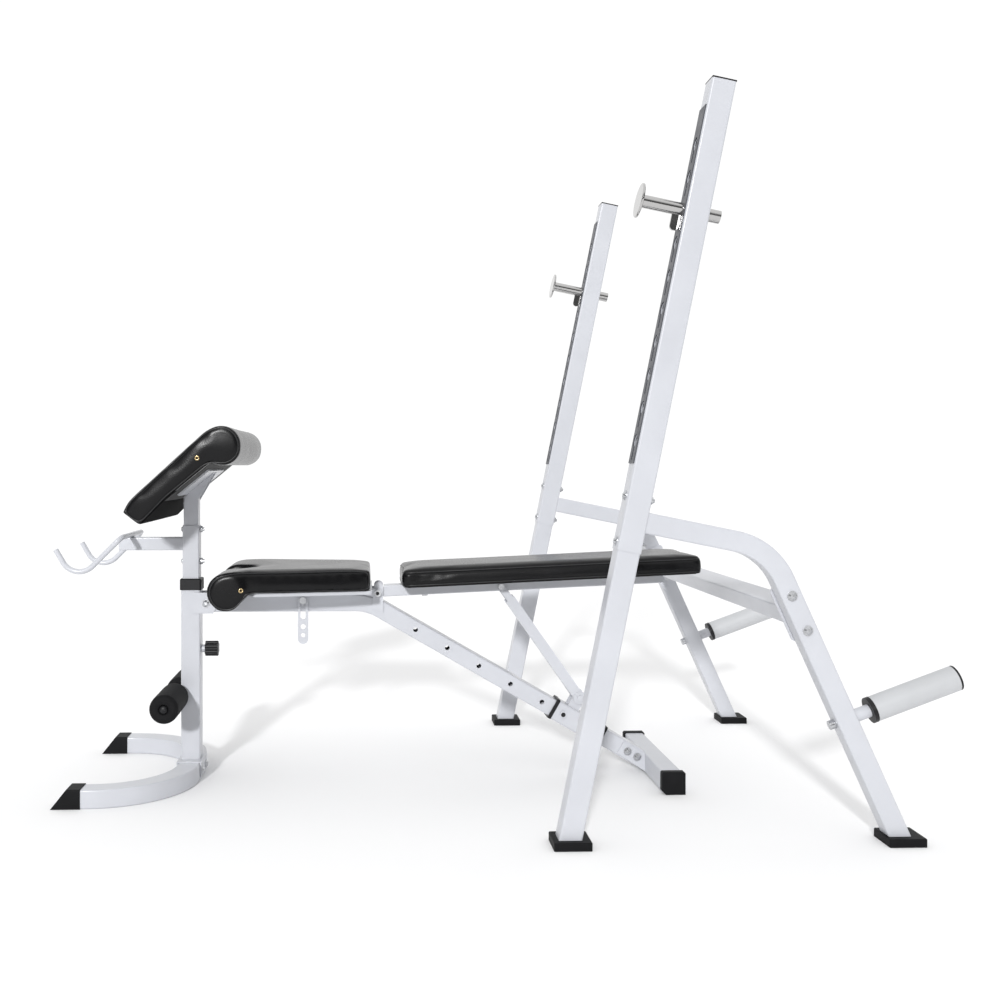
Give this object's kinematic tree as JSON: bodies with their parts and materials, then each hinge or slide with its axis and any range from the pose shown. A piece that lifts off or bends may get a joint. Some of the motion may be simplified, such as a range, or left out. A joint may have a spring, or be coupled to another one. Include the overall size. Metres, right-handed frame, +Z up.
{
  "type": "olympic bench press",
  "caption": "Free-standing barbell rack with leaning uprights, keyhole bar pegs and plate storage, over an adjustable bench with preacher pad, curl bar hooks and foam leg rollers.",
  "frame": {"origin": "bottom centre of the bounding box, on the floor midway between the curl hooks' tips and the storage pegs' ends", "axes": "+X from the bench's foot end towards the rack, +Y to the user's left when lying on the bench with the head at the rack, +Z up"},
  "size_m": [1.8324, 1.096, 1.455],
  "materials": {
    "frame_paint": "satin silver-white powder coat",
    "cap_rubber": "matte black",
    "black_plastic": "moulded black",
    "zinc": "zinc plated",
    "dark_steel": "dark grey",
    "black_vinyl": "soft gloss upholstery vinyl",
    "black_foam": "fine closed-cell foam",
    "black_board": "painted board",
    "chrome": "polished",
    "sleeve_white": "satin white"
  },
  "bodies": {
    "bench": {"front_foot": "frame_paint", "front_foot_caps": "cap_rubber", "foot_bolts": "zinc", "outer_post": "frame_paint", "post_collar": "black_plastic", "roller_rod": "zinc", "main_beam": "frame_paint", "beam_gussets": "frame_paint", "beam_bolts": "zinc", "hinge_pin": "zinc", "rear_foot": "frame_paint", "rear_foot_bolts": "zinc", "rear_foot_caps": "cap_rubber"},
    "rack": {"upright_bolts": "zinc", "cross_tube_bolts": "zinc", "storage_bolts": "zinc", "storage_sleeve_ends": "black_plastic", "cross_tube_plates": "frame_paint", "upright_caps": "black_plastic", "rear_cross_tube": "frame_paint", "rack_front_feet": "cap_rubber", "rack_rear_feet": "cap_rubber", "upper_upright_right": "frame_paint", "upper_upright_left": "frame_paint", "lower_upright_right": "frame_paint", "lower_upright_left": "frame_paint", "keyhole_strip_right": "dark_steel", "keyhole_strip_left": "dark_steel", "rear_leg_right": "frame_paint", "rear_leg_left": "frame_paint", "storage_core_right": "frame_paint", "storage_core_left": "frame_paint", "storage_sleeve_right": "sleeve_white", "storage_sleeve_left": "sleeve_white"},
    "preacher": {"inner_post": "frame_paint", "preacher_post": "frame_paint", "post_bolts": "zinc", "curl_arm": "frame_paint", "curl_bar_hooks": "frame_paint", "preacher_bracket": "frame_paint", "preacher_pad": "black_vinyl", "preacher_board": "black_board"},
    "lock_knob": {"lock_knob": "black_plastic"},
    "roller_right": {"foam_roller_right": "black_foam"},
    "roller_left": {"foam_roller_left": "black_foam"},
    "seat": {"seat_pad": "black_vinyl", "seat_frame": "frame_paint"},
    "seat_plate": {"seat_plate": "frame_paint"},
    "backrest": {"backrest_frame": "frame_paint", "strut_pin": "zinc", "backrest_pad": "black_vinyl", "backrest_board": "black_board", "backrest_screws": "zinc"},
    "strut": {"strut": "frame_paint"},
    "slider": {"slider": "frame_paint", "slider_liners": "black_plastic"},
    "bar_peg_right": {"bar_peg_right": "chrome"},
    "bar_peg_left": {"bar_peg_left": "chrome"}
  },
  "joints": [
    {"name": "rack_position", "type": "slide", "parent": "bench", "child": "rack", "axis": [1, 0, 0], "range_m": [-0.02, 0.15]},
    {"name": "preacher_height", "type": "slide", "parent": "bench", "child": "preacher", "axis": [0, 0, 1], "range_m": [0, 0.125]},
    {"name": "knob_turn", "type": "hinge", "parent": "bench", "child": "lock_knob", "pos_m": [-0.60205, 0, 0.295], "axis": [1, 0, 0], "continuous": true},
    {"name": "roller_right_spin", "type": "hinge", "parent": "bench", "child": "roller_right", "pos_m": [-0.66305, -0.1, 0.19], "axis": [0, 1, 0], "continuous": true},
    {"name": "roller_left_spin", "type": "hinge", "parent": "bench", "child": "roller_left", "pos_m": [-0.66305, 0.1, 0.19], "axis": [0, 1, 0], "continuous": true},
    {"name": "seat_tilt", "type": "hinge", "parent": "bench", "child": "seat", "pos_m": [-0.19805, 0, 0.425], "axis": [0, 1, 0], "range_deg": [0, 12]},
    {"name": "seat_plate_swing", "type": "hinge", "parent": "seat", "child": "seat_plate", "pos_m": [-0.37005, -0.025, 0.425], "axis": [0, 1, 0], "range_deg": [-9, 1]},
    {"name": "backrest_tilt", "type": "hinge", "parent": "bench", "child": "backrest", "pos_m": [-0.19805, 0, 0.425], "axis": [0, -1, 0], "range_deg": [0, 28]},
    {"name": "strut_swing", "type": "hinge", "parent": "backrest", "child": "strut", "pos_m": [0.08965, 0, 0.43806], "axis": [0, -1, 0], "range_deg": [-52, 2]},
    {"name": "slider_travel", "type": "slide", "parent": "bench", "child": "slider", "axis": [-0.866, 0, 0.5], "range_m": [-0.002, 0.172]},
    {"name": "bar_peg_right_pull", "type": "slide", "parent": "rack", "child": "bar_peg_right", "axis": [-0.9799, 0, 0.1994], "range_m": [0, 0.06]},
    {"name": "bar_peg_left_pull", "type": "slide", "parent": "rack", "child": "bar_peg_left", "axis": [-0.9799, 0, 0.1994], "range_m": [0, 0.06]}
  ],
  "couplings": [
    {"joint": "seat_plate_swing", "follows": "seat_tilt", "ratio": -0.68},
    {"joint": "strut_swing", "follows": "backrest_tilt", "ratio": -1.776},
    {"joint": "slider_travel", "follows": "backrest_tilt", "m_per_rad": 0.33527}
  ]
}
